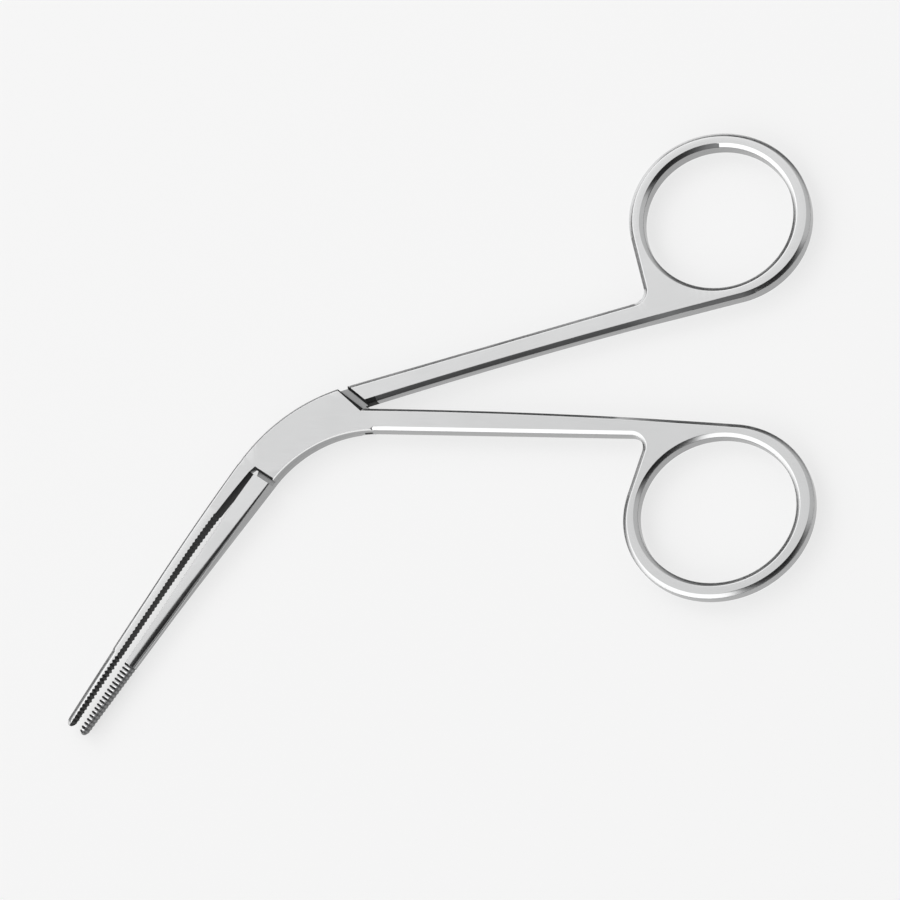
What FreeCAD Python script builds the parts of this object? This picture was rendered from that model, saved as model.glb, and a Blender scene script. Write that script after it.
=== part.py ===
import FreeCAD, Part
import math
import os

from FreeCAD import Placement, Rotation, Vector

# Angled nasal dressing forceps with a lap joint at the elbow.
# Plan view in XY, +Z towards the front face, origin on the pivot axis at the back plane.
# Each half is a forged frame (ring, shank and half of the elbow) with a tapered, toothed jaw.

os.makedirs("parts", exist_ok=True)
doc = FreeCAD.newDocument("nasal_dressing_forceps")

# Driving dimensions in millimetres and degrees

SIZES = {
    "stock_thickness": 3.3,
    "joint_gap": 0.04,
    "edge_break": 0.15,
    "bevel_depth": 0.5,
    "outer_bevel": 0.6,
    "inner_bevel": 0.35,
    "ring_bevel": 0.65,
    "rear_handle_angle": 14.3,
    "front_handle_angle": -2.9,
    "rear_outer_offset": 5.1,
    "front_outer_offset": -0.25,
    "shank_width": 3.36,
    "shank_waist_at": 32.0,
    "rear_root_width": 3.68,
    "front_root_width": 3.5,
    "rear_root_at": 10.6,
    "front_root_at": 9.65,
    "rear_neck_at": 58.1,
    "front_neck_at": 55.6,
    "neck_fillet": 2.0,
    "rear_ring_along": 72.37,
    "rear_ring_across": 15.0,
    "rear_ring_turn": 23.0,
    "rear_ring_half_length": 14.4,
    "rear_ring_half_width": 13.76,
    "rear_eye_along": 72.14,
    "rear_eye_across": 14.97,
    "rear_eye_turn": 6.3,
    "rear_eye_half_length": 11.8,
    "rear_eye_half_width": 11.5,
    "front_ring_along": 67.4,
    "front_ring_across": 11.45,
    "front_ring_turn": 25.1,
    "front_ring_half_length": 15.0,
    "front_ring_half_width": 13.5,
    "front_eye_along": 67.16,
    "front_eye_across": 11.26,
    "front_eye_turn": 20.1,
    "front_eye_half_length": 12.3,
    "front_eye_half_width": 11.33,
    "jaw_angle": 237.0,
    "back_elbow_radius": 30.0,
    "front_elbow_radius": 20.0,
    "shoulder_angle": 50.9,
    "front_blade_reach": 8.6,
    "rear_shoulder_reach": 10.03,
    "front_blade_jaw_end": 9.2,
    "front_notch_across": -3.2,
    "rear_blade_jaw_end": 8.4,
    "rear_notch_across": -3.1,
    "rear_blade_sweep": 11.0,
    "sweep_clearance": 0.2,
    "shoulder_lean": 12.0,
    "jaw_start": 10.0,
    "jaw_end": 59.2,
    "jaw_thin_from": 36.0,
    "jaw_tip_thickness": 2.2,
    "jaw_tip_round": 1.1,
    "front_grip_root": -3.5,
    "front_grip_straight": -4.63,
    "front_grip_tip": -4.92,
    "front_grip_bow_to": 28.0,
    "front_back_start": 5.95,
    "front_back_peak": -6.42,
    "front_back_peak_at": 30.0,
    "front_back_tip": -5.95,
    "rear_grip_root": -2.65,
    "rear_grip_straight": -2.92,
    "rear_grip_tip": -3.3,
    "rear_grip_bow_to": 22.0,
    "rear_back_root": 0.49,
    "rear_back_tip": -2.03,
    "front_jaw_bevel": 0.4,
    "front_tip_bevel": 0.8,
    "rear_jaw_bevel": 1.1,
    "rear_tip_bevel": 0.6,
    "jaw_root_bevel": 0.28,
    "rear_bevel_full_at": 25.0,
    "tip_zone_from": 45.6,
    "jaw_bevel_depth": 0.75,
    "tooth_pitch": 0.7,
    "tooth_depth": 0.28,
    "teeth_from": 18.5,
    "rib_pitch": 0.71,
    "rib_depth": 0.2,
    "ribs_from": 46.0,
    "screw_diameter": 2.6,
    "screw_head_diameter": 4.4,
    "screw_head_depth": 0.95,
    "screw_running_gap": 0.03,
    "screw_seat_gap": 0.01,
    "screw_cover": 0.6,
    "slot_width": 0.7,
    "slot_depth": 0.45,
}

sheet = doc.addObject("Spreadsheet::Sheet", "Sizes")
for row, (alias, number) in enumerate(SIZES.items(), start=1):
    sheet.set(f"A{row}", alias)
    sheet.set(f"B{row}", str(number))
    sheet.setAlias(f"B{row}", alias)
doc.recompute()


def size(alias):
    return float(sheet.get(alias))


THICK = size("stock_thickness")
MIDDLE = THICK / 2
FAR = 200.0

# Plan geometry helpers


def direction(angle):
    return Vector(math.cos(math.radians(angle)), math.sin(math.radians(angle)), 0)


def left_of(vector):
    return Vector(-vector.y, vector.x, 0)


def in_frame(angle, along, across):
    way = direction(angle)
    return way * along + left_of(way) * across


def meet(p, u, q, v):
    """Where the line from p along u crosses the line from q along v."""
    steps = (q - p).cross(v).z / u.cross(v).z
    return p + u * steps


def line_on_circle(p, u, centre, radius, towards):
    """The crossing of a line with a circle that lies on the given side of the line's foot."""
    foot = p + u * (centre - p).dot(u)
    half = math.sqrt(radius**2 - (foot - centre).Length ** 2)
    way = u if (towards - foot).dot(u) > 0 else u * -1
    return foot + way * half


def circle_tangent_to(n1, offset1, n2, offset2, radius, side):
    """Centre of the circle of this radius that touches the lines p.n1 = offset1 and p.n2 = offset2."""
    a = offset1 - side[0] * radius
    b = offset2 - side[1] * radius
    cross = n1.x * n2.y - n1.y * n2.x
    return Vector((a * n2.y - b * n1.y) / cross, (n1.x * b - n2.x * a) / cross, 0)


def tangent_point(outside, centre, major, half_long, half_wide, pick):
    """Point where a line from outside touches an ellipse, on the side that pick names (+1 or -1)."""
    minor = left_of(major)
    q = outside - centre
    qx = q.dot(major) / half_long
    qy = q.dot(minor) / half_wide
    reach = math.hypot(qx, qy)
    turn = math.atan2(qy, qx) + pick * math.acos(1 / reach)
    return centre + major * (half_long * math.cos(turn)) + minor * (half_wide * math.sin(turn))


def ellipse_point(centre, major, half_long, half_wide, turn):
    minor = left_of(major)
    point = centre + major * (half_long * math.cos(turn)) + minor * (half_wide * math.sin(turn))
    tangent = minor * (half_wide * math.cos(turn)) - major * (half_long * math.sin(turn))
    return point, tangent


def ellipse_turn(point, centre, major, half_long, half_wide):
    q = point - centre
    return math.atan2(q.dot(left_of(major)) / half_wide, q.dot(major) / half_long)


def arc_end_direction(start, middle, end):
    """Direction in which the circle through three points arrives at the last one."""
    arc = Part.Arc(start, middle, end)
    return arc.tangent(arc.LastParameter)[0]


# The shape of each half in its own handle frame

HALF_SIZES = [
    "root_width",
    "root_at",
    "neck_at",
    "ring_along",
    "ring_across",
    "ring_turn",
    "ring_half_length",
    "ring_half_width",
    "eye_along",
    "eye_across",
    "eye_turn",
    "eye_half_length",
    "eye_half_width",
]
HALVES = {}
for name, mirror in (("front", -1), ("rear", 1)):
    half = {key: size(f"{name}_{key}") for key in HALF_SIZES}
    half["mirror"] = mirror
    half["angle"] = size(name + "_handle_angle")
    half["outer"] = size(name + "_outer_offset")
    HALVES[name] = half

JAW_WAY = direction(size("jaw_angle"))
JAW_LEFT = left_of(JAW_WAY)


def jaw_point(along, across):
    return JAW_WAY * along + JAW_LEFT * across


def handle_point(half, along, across):
    return in_frame(half["angle"], along, half["mirror"] * across)


def outer_normal(half):
    return left_of(direction(half["angle"])) * half["mirror"]


def jaw_grip(name, along):
    """Across place of the gripping face: straight, with a bow towards the elbow."""
    start = size("jaw_start")
    straight = size(name + "_grip_straight")
    tip = size(name + "_grip_tip")
    across = straight + (tip - straight) * (along - start) / (size("jaw_end") - start)
    bow_to = size(name + "_grip_bow_to")
    bow = size(name + "_grip_root") - straight
    if along < bow_to:
        across += bow * ((bow_to - along) / (bow_to - start)) ** 2
    return across


# The two long curves of the elbow
# The back curve touches the rear handle and the front jaw, the front curve the other two.

front_jaw_out = JAW_LEFT * -1
BACK_CENTRE = circle_tangent_to(
    outer_normal(HALVES["rear"]),
    HALVES["rear"]["outer"] - 0.05,
    front_jaw_out,
    size("front_back_start"),
    size("back_elbow_radius"),
    (1, 1),
)
rear_back_turn = math.atan2(
    size("rear_back_tip") - size("rear_back_root"), size("jaw_end") - size("jaw_start")
)
rear_back_way = JAW_WAY * math.cos(rear_back_turn) + JAW_LEFT * math.sin(rear_back_turn)
rear_jaw_out = left_of(rear_back_way)
rear_back_offset = jaw_point(size("jaw_start"), size("rear_back_root")).dot(rear_jaw_out)
FRONT_CENTRE = circle_tangent_to(
    outer_normal(HALVES["front"]),
    HALVES["front"]["outer"],
    rear_jaw_out,
    rear_back_offset,
    size("front_elbow_radius"),
    (-1, -1),
)


def back_curve(inset):
    return BACK_CENTRE, size("back_elbow_radius") - inset


def front_curve(inset):
    return FRONT_CENTRE, size("front_elbow_radius") + inset


def arc_between(start, end, centre, radius):
    """Short arc of a circle from start to end."""
    middle = (start + end) * 0.5 - centre
    middle.normalize()
    return Part.Arc(start, centre + middle * radius, end)


def oval_centre(half, part):
    """Centre of the ring or of its eye."""
    return handle_point(half, half[part + "_along"], half[part + "_across"])


def oval_major(half, part):
    return direction(half["angle"] - half["mirror"] * half[part + "_turn"])


def ring_and_shank(half, level):
    """Edges from the outer side of the shank round the ring and back along its inner side.

    level is 0 at the widest outline and 1 at the flat face inside the bevels."""
    outer_in = level * size("outer_bevel")
    inner_in = level * size("inner_bevel")
    ring_in = level * size("ring_bevel")
    mirror = half["mirror"]
    way = direction(half["angle"])
    out = outer_normal(half)

    centre = oval_centre(half, "ring")
    major = oval_major(half, "ring")
    half_long = half["ring_half_length"] - ring_in
    half_wide = half["ring_half_width"] - ring_in

    # Neck: a line from the outer side of the shank that touches the ring
    neck_root = handle_point(half, half["neck_at"], half["outer"])
    full_touch = tangent_point(
        neck_root, centre, major, half["ring_half_length"], half["ring_half_width"], -mirror
    )
    neck_way = (full_touch - neck_root).normalize()
    neck_in = left_of(neck_way) * -mirror
    corner = meet(
        neck_root + neck_in * ring_in, neck_way, neck_root - out * outer_in, way
    )
    touch = tangent_point(corner, centre, major, half_long, half_wide, -mirror)
    neck_way = (touch - corner).normalize()
    fillet = size("neck_fillet") + outer_in
    open_angle = math.acos(max(-1.0, min(1.0, (way * -1).dot(neck_way))))
    setback = fillet / math.tan(open_angle / 2)
    fillet_start = corner - way * setback
    fillet_end = corner + neck_way * setback
    bisector = (neck_way - way).normalize()
    fillet_centre = corner + bisector * (fillet / math.sin(open_angle / 2))
    fillet_middle = fillet_centre - bisector * fillet

    # Inner side: an arc through the waist that touches the ring
    root = handle_point(
        half, half["root_at"], half["outer"] - half["root_width"] + inner_in
    )
    waist = handle_point(
        half, size("shank_waist_at"), half["outer"] - size("shank_width") + inner_in
    )

    def miss(turn):
        point, tangent = ellipse_point(centre, major, half_long, half_wide, turn)
        arrive = arc_end_direction(root, waist, point)
        return arrive.cross(tangent.normalize() * mirror).z

    inner_side = ellipse_turn(centre - out * half_wide, centre, major, half_long, half_wide)
    low = inner_side - mirror * math.radians(60)
    high = inner_side + mirror * math.radians(40)
    low_sign = miss(low) > 0
    for _ in range(50):
        middle = (low + high) / 2
        if (miss(middle) > 0) == low_sign:
            low = middle
        else:
            high = middle
    join, _ = ellipse_point(centre, major, half_long, half_wide, low)

    touch_turn = ellipse_turn(touch, centre, major, half_long, half_wide)
    ellipse = Part.Ellipse(
        centre + major * half_long, centre + left_of(major) * half_wide, centre
    )
    if mirror > 0:
        first, last = low, touch_turn
    else:
        first, last = touch_turn, low
    while last < first:
        last += 2 * math.pi
    while last - first > 2 * math.pi:
        last -= 2 * math.pi
    ring_arc = Part.ArcOfEllipse(ellipse, first, last)
    return {
        "fillet_start": fillet_start,
        "edges": [
            Part.Arc(fillet_start, fillet_middle, fillet_end),
            Part.LineSegment(fillet_end, touch),
            ring_arc,
            Part.Arc(join, waist, root),
        ],
        "root": root,
    }


RAMP = 0.5


def rear_outline(level):
    """Closed outline of the rear frame: back layer of the elbow, shank and ring."""
    half = HALVES["rear"]
    inset = level * size("edge_break")
    out = outer_normal(half)
    way = direction(half["angle"])
    start = size("jaw_start")
    centre, radius = front_curve(inset)
    jaw_outer = line_on_circle(jaw_point(start, 0), JAW_LEFT, centre, radius, jaw_point(start, 5))
    jaw_inner = jaw_point(start, jaw_grip("rear", start))
    notch = jaw_point(size("rear_blade_jaw_end"), size("rear_notch_across"))
    back_centre, back_radius = back_curve(inset)
    blade_end = line_on_circle(
        notch, JAW_LEFT, back_centre, back_radius, notch - JAW_LEFT * 5
    )
    elbow_end = back_centre + out * back_radius
    ramp_end = meet(
        elbow_end + way * RAMP, out, handle_point(half, 0, half["outer"] - level * size("outer_bevel")), way
    )
    shank = ring_and_shank(half, level)
    # The blade's end is rounded about the pivot, so it passes the front half's shoulder
    front = HALVES["front"]
    sweep = size("rear_blade_sweep")
    blade_line = handle_point(front, sweep - 0.01, 0)
    blade_corner = line_on_circle(
        blade_line, outer_normal(front), centre, radius, blade_line - outer_normal(front) * 5
    )
    blade_middle = (shank["root"] + blade_corner).normalize() * (
        (shank["root"].Length + blade_corner.Length) / 2 + 0.06
    )
    return (
        [
            Part.LineSegment(jaw_outer, jaw_inner),
            Part.LineSegment(jaw_inner, notch),
            Part.LineSegment(notch, blade_end),
            arc_between(blade_end, elbow_end, back_centre, back_radius),
            Part.LineSegment(elbow_end, ramp_end),
            Part.LineSegment(ramp_end, shank["fillet_start"]),
        ]
        + shank["edges"]
        + [
            Part.Arc(shank["root"], blade_middle, blade_corner),
            arc_between(blade_corner, jaw_outer, centre, radius),
        ]
    )


def front_outline(level):
    """Closed outline of the front frame: front layer of the elbow, shank and ring."""
    half = HALVES["front"]
    inset = level * size("edge_break")
    out = outer_normal(half)
    way = direction(half["angle"])
    start = size("jaw_start")
    back_centre, back_radius = back_curve(inset)
    jaw_outer = line_on_circle(
        jaw_point(start, 0), JAW_LEFT, back_centre, back_radius, jaw_point(start, -5)
    )
    jaw_inner = jaw_point(start, jaw_grip("front", start))
    notch = jaw_point(size("front_blade_jaw_end"), size("front_notch_across"))
    centre, radius = front_curve(inset)
    blade_jaw_corner = line_on_circle(notch, JAW_LEFT, centre, radius, notch + JAW_LEFT * 5)
    elbow_end = centre + out * -radius
    ramp_end = meet(
        elbow_end + way * RAMP, out, handle_point(half, 0, half["outer"] - level * size("outer_bevel")), way
    )
    shank = ring_and_shank(half, level)
    shoulder = direction(size("shoulder_angle"))
    blade_foot = shoulder * size("front_blade_reach")
    blade_corner = line_on_circle(
        blade_foot, left_of(shoulder), back_centre, back_radius, blade_foot + left_of(shoulder) * 5
    )
    return (
        [
            Part.LineSegment(jaw_outer, jaw_inner),
            Part.LineSegment(jaw_inner, notch),
            Part.LineSegment(notch, blade_jaw_corner),
            arc_between(blade_jaw_corner, elbow_end, centre, radius),
            Part.LineSegment(elbow_end, ramp_end),
            Part.LineSegment(ramp_end, shank["fillet_start"]),
        ]
        + shank["edges"]
        + [
            Part.LineSegment(shank["root"], blade_corner),
            arc_between(blade_corner, jaw_outer, back_centre, back_radius),
        ]
    )


# PartDesign helpers


def origin_plane(body, role):
    for feature in body.Origin.OriginFeatures:
        if feature.Role == role:
            return feature
    raise LookupError(role)


def add_sketch(body, name, role, height, geometry):
    """A sketch on one of the body's origin planes, lifted along its normal.

    height is a number or an expression on the sheet."""
    sketch = body.newObject("Sketcher::SketchObject", name)
    sketch.AttachmentSupport = [(origin_plane(body, role), "")]
    sketch.MapMode = "FlatFace"
    if isinstance(height, str):
        sketch.setExpression("AttachmentOffset.Base.z", height)
    else:
        sketch.AttachmentOffset = Placement(Vector(0, 0, height), Rotation())
    for item in geometry:
        sketch.addGeometry(item, False)
    sketch.Visibility = False
    return sketch


def polygon(points):
    return [
        Part.LineSegment(a, b) for a, b in zip(points, points[1:] + points[:1])
    ]


def add_loft(body, name, sketches, subtract=False):
    kind = "PartDesign::SubtractiveLoft" if subtract else "PartDesign::AdditiveLoft"
    loft = body.newObject(kind, name)
    loft.Profile = sketches[0]
    loft.Sections = sketches[1:]
    loft.Ruled = True
    doc.recompute()
    return loft


def add_pocket(body, name, sketch, length, reverse=False, both=False):
    before = body.Shape.Volume
    pocket = body.newObject("PartDesign::Pocket", name)
    pocket.Profile = sketch
    if isinstance(length, str):
        pocket.setExpression("Length", length)
    else:
        pocket.Length = length
    pocket.Reversed = reverse
    pocket.Midplane = both
    doc.recompute()
    if not pocket.Shape.Volume < before:
        raise ValueError(name + " cuts nothing")
    return pocket


BEVEL_LEVELS = (
    ("back_flat", "0 mm", 1),
    ("back_side", "Sizes.bevel_depth * 1 mm", 0),
    ("front_side", "(Sizes.stock_thickness - Sizes.bevel_depth) * 1 mm", 0),
    ("front_flat", "Sizes.stock_thickness * 1 mm", 1),
)


def add_frame(name, outline):
    """Ring, shank and elbow of one half: bevelled all round, with the ring's eye cut through."""
    half = HALVES[name]
    body = doc.addObject("PartDesign::Body", name + "_frame")
    sections = [
        add_sketch(body, f"{name}_{part}", "XY_Plane", height, outline(level))
        for part, height, level in BEVEL_LEVELS
    ]
    add_loft(body, name + "_blank", sections)
    eyes = []
    for part, height, level in BEVEL_LEVELS:
        half_long = half["eye_half_length"] + level * size("ring_bevel")
        half_wide = half["eye_half_width"] + level * size("ring_bevel")
        centre = oval_centre(half, "eye")
        major = oval_major(half, "eye")
        eye = Part.Ellipse(
            centre + major * half_long, centre + left_of(major) * half_wide, centre
        )
        eyes.append(add_sketch(body, f"{name}_eye_{part}", "XY_Plane", height, [eye]))
    add_loft(body, name + "_eye", eyes, subtract=True)
    return body


def half_plane(point, way):
    """A large rectangle whose one side passes through point, on the far side from way."""
    side = left_of(way)
    return polygon(
        [
            point + side * FAR,
            point - side * FAR,
            point - side * FAR - way * FAR,
            point + side * FAR - way * FAR,
        ]
    )


# Front half's frame: the front layer of the elbow stays

front_frame = add_frame("front", front_outline)
front_way = direction(size("front_handle_angle"))
front_relief = add_sketch(
    front_frame,
    "front_lap",
    "XY_Plane",
    "(Sizes.stock_thickness + Sizes.joint_gap) / 2 * 1 mm",
    half_plane(front_way * (size("rear_blade_sweep") + size("sweep_clearance")), front_way),
)
add_pocket(front_frame, "front_lap_recess", front_relief, "Sizes.stock_thickness * 1 mm")

# Rear half's frame: the back layer of the elbow stays

rear_frame = add_frame("rear", rear_outline)
shoulder_way = direction(size("shoulder_angle"))
shoulder_lean = math.tan(math.radians(size("shoulder_lean")))
shoulder_foot = size("rear_shoulder_reach") - (THICK + size("joint_gap")) / 2 * shoulder_lean
rear_relief = add_sketch(
    rear_frame,
    "rear_lap",
    "XY_Plane",
    "(Sizes.stock_thickness - Sizes.joint_gap) / 2 * 1 mm",
    half_plane(shoulder_way * shoulder_foot, shoulder_way),
)
rear_lap = add_pocket(
    rear_frame, "rear_lap_recess", rear_relief, "Sizes.stock_thickness * 1 mm", reverse=True
)
upright_volume = rear_lap.Shape.Volume
rear_lap.setExpression("TaperAngle", "Sizes.shoulder_lean * 1 deg")
doc.recompute()
if not rear_lap.Shape.Volume < upright_volume:
    raise ValueError("the rear shoulder leans the wrong way")

# Screw holes: a seat in the front layer, a running bore and head recess in the back layer


def add_bore(body, name, radius, from_height, length, reverse):
    sketch = add_sketch(
        body, name + "_circle", "XY_Plane", from_height, [Part.Circle(Vector(), Vector(0, 0, 1), radius)]
    )
    add_pocket(body, name, sketch, length, reverse=reverse)


add_bore(
    front_frame,
    "screw_seat",
    size("screw_diameter") / 2 + size("screw_seat_gap"),
    0.0,
    "(Sizes.stock_thickness - Sizes.screw_cover + Sizes.screw_running_gap) * 1 mm",
    True,
)
add_bore(
    rear_frame,
    "screw_bore",
    size("screw_diameter") / 2 + size("screw_running_gap"),
    0.0,
    "Sizes.stock_thickness * 1 mm",
    True,
)
add_bore(
    rear_frame,
    "screw_head_recess",
    size("screw_head_diameter") / 2 + size("screw_running_gap"),
    0.0,
    "(Sizes.screw_head_depth + Sizes.screw_running_gap) * 1 mm",
    True,
)

# Jaws: lofted through octagonal sections, with a rounded tip and cut teeth


def blend(x, x0, x1, y0, y1):
    """Straight run from y0 at x0 to y1 at x1, level outside."""
    share = max(0.0, min(1.0, (x - x0) / (x1 - x0)))
    return y0 + (y1 - y0) * share


def jaw_thickness(along):
    return blend(
        along, size("jaw_start"), size("jaw_thin_from"), THICK, size("jaw_tip_thickness")
    )


def front_back(along):
    """Outer side of the front jaw: two shallow parabolas that meet at the widest place."""
    peak_at = size("front_back_peak_at")
    peak = size("front_back_peak")
    start = size("jaw_start")
    if along < peak_at:
        begin = FRONT_JAW_ROOT
        return peak + (begin - peak) * ((peak_at - along) / (peak_at - start)) ** 2
    tip = size("front_back_tip")
    return peak + (tip - peak) * ((along - peak_at) / (size("jaw_end") - peak_at)) ** 2


def rear_back(along):
    return blend(
        along, size("jaw_start"), size("jaw_end"), REAR_JAW_ROOT, size("rear_back_tip")
    )


start_line = jaw_point(size("jaw_start"), 0)
FRONT_JAW_ROOT = line_on_circle(
    start_line, JAW_LEFT, BACK_CENTRE, size("back_elbow_radius"), jaw_point(size("jaw_start"), -5)
).dot(JAW_LEFT)
REAR_JAW_ROOT = line_on_circle(
    start_line, JAW_LEFT, FRONT_CENTRE, size("front_elbow_radius"), jaw_point(size("jaw_start"), 5)
).dot(JAW_LEFT)


def front_bevel(along):
    zone = size("tip_zone_from")
    if along < zone:
        return blend(
            along, size("jaw_start"), zone, size("jaw_root_bevel"), size("front_jaw_bevel")
        )
    return size("front_tip_bevel")


def rear_bevel(along):
    full_at = size("rear_bevel_full_at")
    if along < full_at:
        return blend(
            along, size("jaw_start"), full_at, size("jaw_root_bevel"), size("rear_jaw_bevel")
        )
    return blend(
        along, size("jaw_thin_from"), size("jaw_end"), size("rear_jaw_bevel"), size("rear_tip_bevel")
    )


def jaw_section(along, grip, outer, bevel, share=1.0, sunk=0.0):
    """Octagon across the jaw: flat gripping face, flat faces, and a back rounded in two bevels.

    The sketch plane's own axes are across (first) and up (second).
    share shrinks it at the tip, and sunk lowers all but the gripping face between ribs."""
    side = 1 if outer > grip else -1
    thick = jaw_thickness(along) - 2 * sunk
    outer -= side * sunk
    depth = blend(
        along,
        size("jaw_start"),
        size("rear_bevel_full_at"),
        size("jaw_root_bevel"),
        size("jaw_bevel_depth"),
    )
    depth = min(depth, 0.4 * thick)
    bevel = min(bevel, 0.7 * abs(outer - grip))
    half = [
        (grip, thick / 2),
        (outer - side * bevel, thick / 2),
        (outer - side * bevel * 0.42, thick / 2 - depth * 0.38),
        (outer, thick / 2 - depth),
    ]
    points = half + [(y, -z) for y, z in reversed(half)]
    middle = (grip + outer) / 2
    return [
        Vector(middle + (y - middle) * share, MIDDLE + z * share, 0) for y, z in points
    ]


def add_jaw(name, back, bevel_law):
    body = doc.addObject("PartDesign::Body", name + "_jaw")
    start = size("jaw_start")
    end = size("jaw_end")
    tip_round = size("jaw_tip_round")
    zone = size("tip_zone_from")
    stations = [start, 12.5, 15.5, 19.0, size("rear_bevel_full_at"), 30.0, size("jaw_thin_from")]
    if name == "rear":
        # Ribs: the sections rise and fall by the rib depth at every half pitch
        half_pitch = size("rib_pitch") / 2
        ribs = 2 * int((end - tip_round - size("ribs_from")) / (2 * half_pitch))
        sections = [(x, 1.0, 0.0) for x in stations]
        for number in range(ribs + 1):
            sunk = size("rib_depth") if number % 2 else 0.0
            sections.append((size("ribs_from") + number * half_pitch, 1.0, sunk))
    else:
        stations += [zone - 0.3, zone + 0.3, (zone + end) / 2]
        sections = [(x, 1.0, 0.0) for x in stations]
    sections.append((end - tip_round + 0.05, 1.0, 0.0))
    for step in (30, 55, 75):
        turn = math.radians(step)
        sections.append((end - tip_round * (1 - math.sin(turn)), math.cos(turn), 0.0))
    sketches = []
    for number, (x, share, sunk) in enumerate(sections):
        points = jaw_section(x, jaw_grip(name, x), back(x), bevel_law(x), share, sunk)
        sketches.append(add_sketch(body, f"{name}_jaw_{number}", "YZ_Plane", x, polygon(points)))
    add_loft(body, name + "_jaw_blank", sketches)

    # Teeth: one saw-toothed pocket across the gripping face
    pitch = size("tooth_pitch")
    depth = size("tooth_depth")
    side = 1 if back(end) > jaw_grip(name, end) else -1
    shift = 0.0 if name == "front" else pitch / 2
    first = size("teeth_from") + shift
    count = int((end - 0.35 - first) / pitch)
    points = []
    for tooth in range(count):
        x = first + tooth * pitch
        points.append(Vector(x, jaw_grip(name, x), 0))
        points.append(Vector(x + pitch / 2, jaw_grip(name, x + pitch / 2) + side * depth, 0))
    last = first + count * pitch
    points.append(Vector(last, jaw_grip(name, last), 0))
    points.append(Vector(last, jaw_grip(name, last) - side, 0))
    points.append(Vector(first, jaw_grip(name, first) - side, 0))
    saw = add_sketch(body, name + "_saw", "XY_Plane", 0.0, polygon(points))
    add_pocket(body, name + "_teeth", saw, "2 * Sizes.stock_thickness * 1 mm", reverse=True)
    body.setExpression("Placement.Rotation.Angle", "Sizes.jaw_angle * 1 deg")
    return body


front_jaw = add_jaw("front", front_back, front_bevel)
rear_jaw = add_jaw("rear", rear_back, rear_bevel)


def add_half(label, *pieces):
    half = doc.addObject("Part::MultiFuse", label)
    half.Label = label
    half.Shapes = list(pieces)
    half.Refine = True
    doc.recompute()
    return half


front_half = add_half("front_half", front_frame, front_jaw)
rear_half = add_half("rear_half", rear_frame, rear_jaw)

# Joint screw: head sunk flush in the back, end blind in the front layer under its whole face

joint_screw = doc.addObject("PartDesign::Body", "joint_screw")
head_edge = size("edge_break")
neck = size("screw_diameter") / 2
head = size("screw_head_diameter") / 2
profile = [
    Vector(0, 0, 0),
    Vector(head - head_edge, 0, 0),
    Vector(head, head_edge, 0),
    Vector(head, size("screw_head_depth"), 0),
    Vector(neck, size("screw_head_depth"), 0),
    Vector(neck, THICK - size("screw_cover"), 0),
    Vector(0, THICK - size("screw_cover"), 0),
]
screw_sketch = add_sketch(joint_screw, "screw_profile", "XZ_Plane", 0.0, polygon(profile))
turned = joint_screw.newObject("PartDesign::Revolution", "screw_turned")
turned.Profile = screw_sketch
turned.ReferenceAxis = (screw_sketch, ["V_Axis"])
turned.Angle = 360
doc.recompute()
slot_half = size("slot_width") / 2
slot_points = [
    Vector(-head * 2, -slot_half, 0),
    Vector(head * 2, -slot_half, 0),
    Vector(head * 2, slot_half, 0),
    Vector(-head * 2, slot_half, 0),
]
slot_sketch = add_sketch(joint_screw, "screw_slot_sketch", "XY_Plane", 0.0, polygon(slot_points))
add_pocket(joint_screw, "screw_slot", slot_sketch, "Sizes.slot_depth * 1 mm", reverse=True)

# Checks and export

doc.recompute()
for item in doc.Objects:
    if "Invalid" in item.State or "Error" in item.State:
        raise RuntimeError(item.Label + " failed: " + ", ".join(item.State))

NODES = {
    "front_half": front_half,
    "rear_half": rear_half,
    "joint_screw": joint_screw,
}
for node, item in NODES.items():
    shape = item.Shape
    if shape.isNull() or not shape.isValid():
        raise RuntimeError(node + " has no valid shape")
    if len(shape.Solids) != 1:
        raise RuntimeError(f"{node} has {len(shape.Solids)} solids")
    shape.exportStep(os.path.join("parts", node + ".step"))
    box = shape.BoundBox
    print(node, "volume", round(shape.Volume, 2), "faces", len(shape.Faces),
          "box", [round(v, 2) for v in (box.XMin, box.YMin, box.ZMin, box.XMax, box.YMax, box.ZMax)])
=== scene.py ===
# %% [markdown]
# # Nasal dressing forceps in satin steel
# The instrument is two forged halves that cross at a bent lap joint and turn on one sunk screw.
# Each half has an oval finger ring, a straight shank, half of the elbow and a long toothed jaw.
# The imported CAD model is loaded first, because every piece made here stands in its place and
# rides on one of its bodies. All sizes below are in millimetres and become metres only when
# a mesh is written.

# %% Load the fixed frame
import math

import bmesh
import bpy
from mathutils import Matrix, Vector


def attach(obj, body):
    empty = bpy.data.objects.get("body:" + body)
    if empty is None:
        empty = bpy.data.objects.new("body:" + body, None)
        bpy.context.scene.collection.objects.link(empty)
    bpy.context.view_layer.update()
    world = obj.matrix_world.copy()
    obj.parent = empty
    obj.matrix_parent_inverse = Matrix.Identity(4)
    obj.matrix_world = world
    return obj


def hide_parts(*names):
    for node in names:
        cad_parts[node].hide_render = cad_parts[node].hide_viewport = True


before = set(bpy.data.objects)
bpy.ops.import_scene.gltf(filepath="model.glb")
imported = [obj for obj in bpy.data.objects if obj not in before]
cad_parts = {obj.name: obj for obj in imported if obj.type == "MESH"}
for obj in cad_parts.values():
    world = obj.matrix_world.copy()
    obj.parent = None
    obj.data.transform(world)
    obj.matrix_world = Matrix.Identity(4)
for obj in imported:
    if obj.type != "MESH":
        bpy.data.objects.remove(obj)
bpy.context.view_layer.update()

MM = 0.001

# %% [markdown]
# ## The sizes of the two halves
# A drawing of such an instrument gives a few sizes for each half: the direction of its
# handle, how far the shank's outer side stands off the screw, and the ring's two ovals.
# They could be read off the CAD mesh, but its rings are made of short chords. Written down
# as sizes, they let every curve be drawn as finely as a close view needs.

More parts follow.
